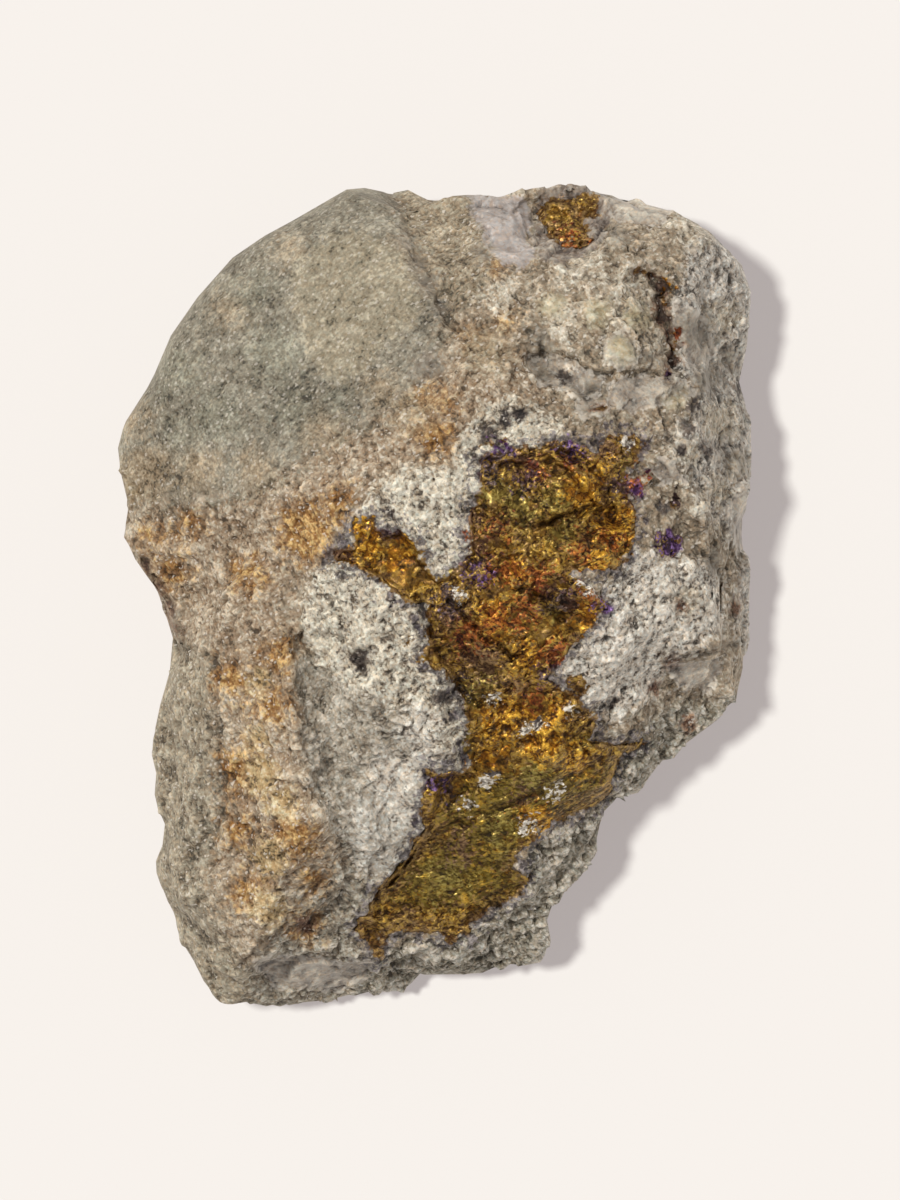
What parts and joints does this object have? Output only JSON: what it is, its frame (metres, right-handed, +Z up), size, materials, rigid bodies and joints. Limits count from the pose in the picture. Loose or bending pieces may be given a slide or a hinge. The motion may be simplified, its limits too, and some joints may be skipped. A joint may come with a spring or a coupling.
{
  "type": "milky quartz specimen",
  "caption": "Hand-sized broken stone of massive milky quartz and weathered grey-green host rock, with a seam of brassy tarnished copper ore across its upper face.",
  "frame": {"origin": "middle of the stone's bounding box seen from above, at the height of the face it rests on", "axes": "+Z up, away from the face it rests on; +Y along the stone's length, towards its broad end; +X across it, to the right when seen from above with +Y at the top"},
  "size_m": [0.0702, 0.0908, 0.0405],
  "materials": {
    "milky_quartz": null
  },
  "bodies": {
    "root": {"quartz_specimen": "milky_quartz"}
  },
  "joints": []
}
